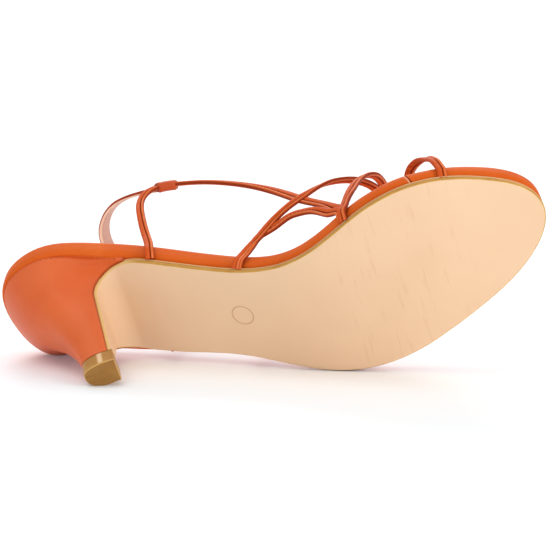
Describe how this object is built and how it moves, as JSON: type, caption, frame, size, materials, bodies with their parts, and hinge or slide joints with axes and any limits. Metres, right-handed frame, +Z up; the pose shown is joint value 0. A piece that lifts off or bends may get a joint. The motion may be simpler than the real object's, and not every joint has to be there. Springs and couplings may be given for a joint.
{
  "type": "strappy heeled sandal",
  "caption": "Left strappy slingback sandal with a kitten heel and a toe loop, lying on its outer side.",
  "frame": {"origin": "middle of the bounding box at the floor that the shoe lies on", "axes": "+X along the shoe's length from heel to toe as it lies, +Y from the sole towards the straps, +Z up from the floor towards the shoe's inner side"},
  "size_m": [0.2322, 0.122, 0.095],
  "materials": {
    "insole": "smooth semi-gloss",
    "outsole": "matt smooth",
    "heel_block": "smooth semi-gloss",
    "heel_tip": "hard satin",
    "upper": "smooth semi-gloss",
    "toe_loop": "smooth semi-gloss",
    "slingback_strap": "smooth semi-gloss",
    "inner_keeper": "smooth semi-gloss",
    "outer_keeper": "smooth semi-gloss"
  },
  "bodies": {
    "root": {"insole": "insole", "outsole": "outsole", "heel_block": "heel_block", "heel_tip": "heel_tip", "upper": "upper", "toe_loop": "toe_loop", "slingback_strap": "slingback_strap", "inner_keeper": "inner_keeper", "outer_keeper": "outer_keeper"}
  },
  "joints": []
}
